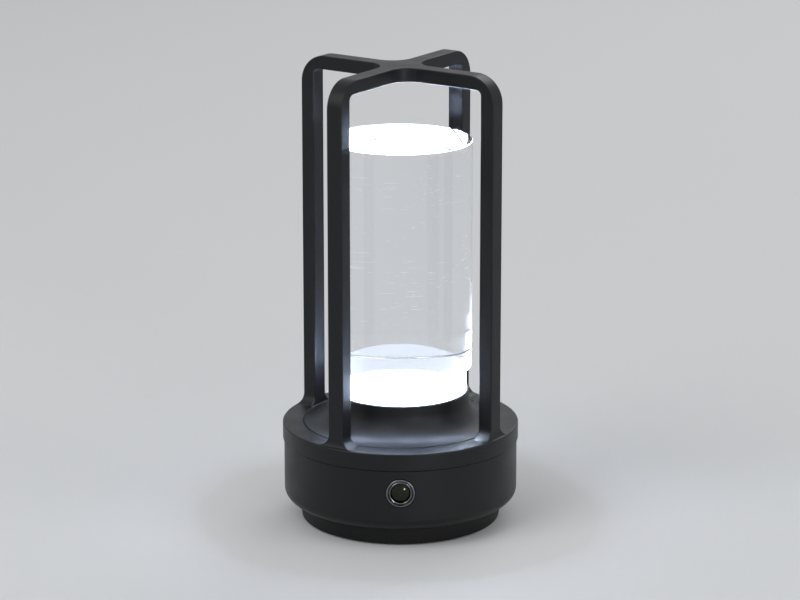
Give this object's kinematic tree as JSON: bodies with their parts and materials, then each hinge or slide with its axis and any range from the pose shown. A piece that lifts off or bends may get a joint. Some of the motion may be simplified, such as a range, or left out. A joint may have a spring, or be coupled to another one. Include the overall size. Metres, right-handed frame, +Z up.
{
  "type": "led lantern",
  "caption": "Cordless LED table lantern: a clear acrylic light column in a black four-post cage handle, on a round rechargeable base with a chrome push button.",
  "frame": {"origin": "middle of the face it stands on, on the lantern's vertical axis", "axes": "+Z up along the column, -Y towards the push button, +X to the viewer's right when facing the button"},
  "size_m": [0.11, 0.11, 0.2152],
  "materials": {
    "cage_black": "satin black paint on die-cast aluminium",
    "plate_black": "satin black paint on turned aluminium",
    "drum_black": "satin black paint on aluminium",
    "foot_black": "fine-textured black moulding",
    "pad_rubber": "plain moulded",
    "clear_acrylic": "polished clear acrylic with fine turning scratches",
    "opal_plastic": "opal diffuser, lit",
    "silicone": "translucent silicone",
    "board_aluminium": "white solder mask on aluminium",
    "led_phosphor": "phosphor under silicone, lit",
    "bright_chrome": "polished",
    "plain_steel": "zinc plated",
    "black_plastic": "moulded",
    "cell_can": "shrink-sleeved cell",
    "circuit_board": "green solder mask",
    "ferrite": "ferrite coil",
    "white_plastic": "moulded connector housing",
    "white_sleeve": "insulated lead",
    "red_sleeve": "insulated lead",
    "black_sleeve": "insulated lead"
  },
  "bodies": {
    "lantern": {"cage_frame": "cage_black", "top_plate": "plate_black", "light_column": "clear_acrylic", "diffuser_dome": "opal_plastic", "column_gasket": "silicone", "led_board": "board_aluminium", "led_chip_1": "led_phosphor", "led_chip_2": "led_phosphor", "led_chip_3": "led_phosphor", "led_chip_4": "led_phosphor", "led_chip_5": "led_phosphor", "led_chip_6": "led_phosphor", "drum_shell": "drum_black", "foot_cover": "foot_black", "foot_pad": "pad_rubber", "ballast_plate": "plain_steel", "battery_tray": "black_plastic", "battery_cell_1": "cell_can", "battery_cell_2": "cell_can", "cell_strip_1": "plain_steel", "cell_strip_2": "plain_steel", "main_board": "circuit_board", "usb_socket": "plain_steel", "lead_connector_1": "white_plastic", "lead_connector_2": "white_plastic", "lead_connector_3": "white_plastic", "driver_chip": "black_plastic", "driver_coil": "ferrite", "button_bezel": "bright_chrome", "bezel_nut": "plain_steel", "button_spring": "plain_steel", "spring_seat": "plain_steel", "tact_switch": "black_plastic", "switch_board": "circuit_board", "led_lead": "white_sleeve", "battery_lead": "red_sleeve", "switch_lead": "black_sleeve", "plate_screw_1": "plain_steel", "plate_screw_2": "plain_steel", "plate_screw_3": "plain_steel", "plate_screw_4": "plain_steel", "case_screw_1": "plain_steel", "case_screw_2": "plain_steel", "case_screw_3": "plain_steel", "case_screw_4": "plain_steel", "foot_screw_1": "plain_steel", "foot_screw_2": "plain_steel", "foot_screw_3": "plain_steel", "foot_screw_4": "plain_steel", "led_screw_1": "plain_steel", "led_screw_2": "plain_steel", "tray_screw_1": "plain_steel", "tray_screw_2": "plain_steel", "board_screw_1": "plain_steel", "board_screw_2": "plain_steel", "switch_screw_1": "plain_steel", "switch_screw_2": "plain_steel"},
    "button": {"button_cap": "bright_chrome"}
  },
  "joints": [
    {"name": "button_press", "type": "slide", "parent": "lantern", "child": "button", "axis": [0, 1, 0], "range_m": [0, 0.0008], "stiffness_N_per_m": 300, "springref_m": -0.002, "deforming": ["button_spring"]}
  ]
}
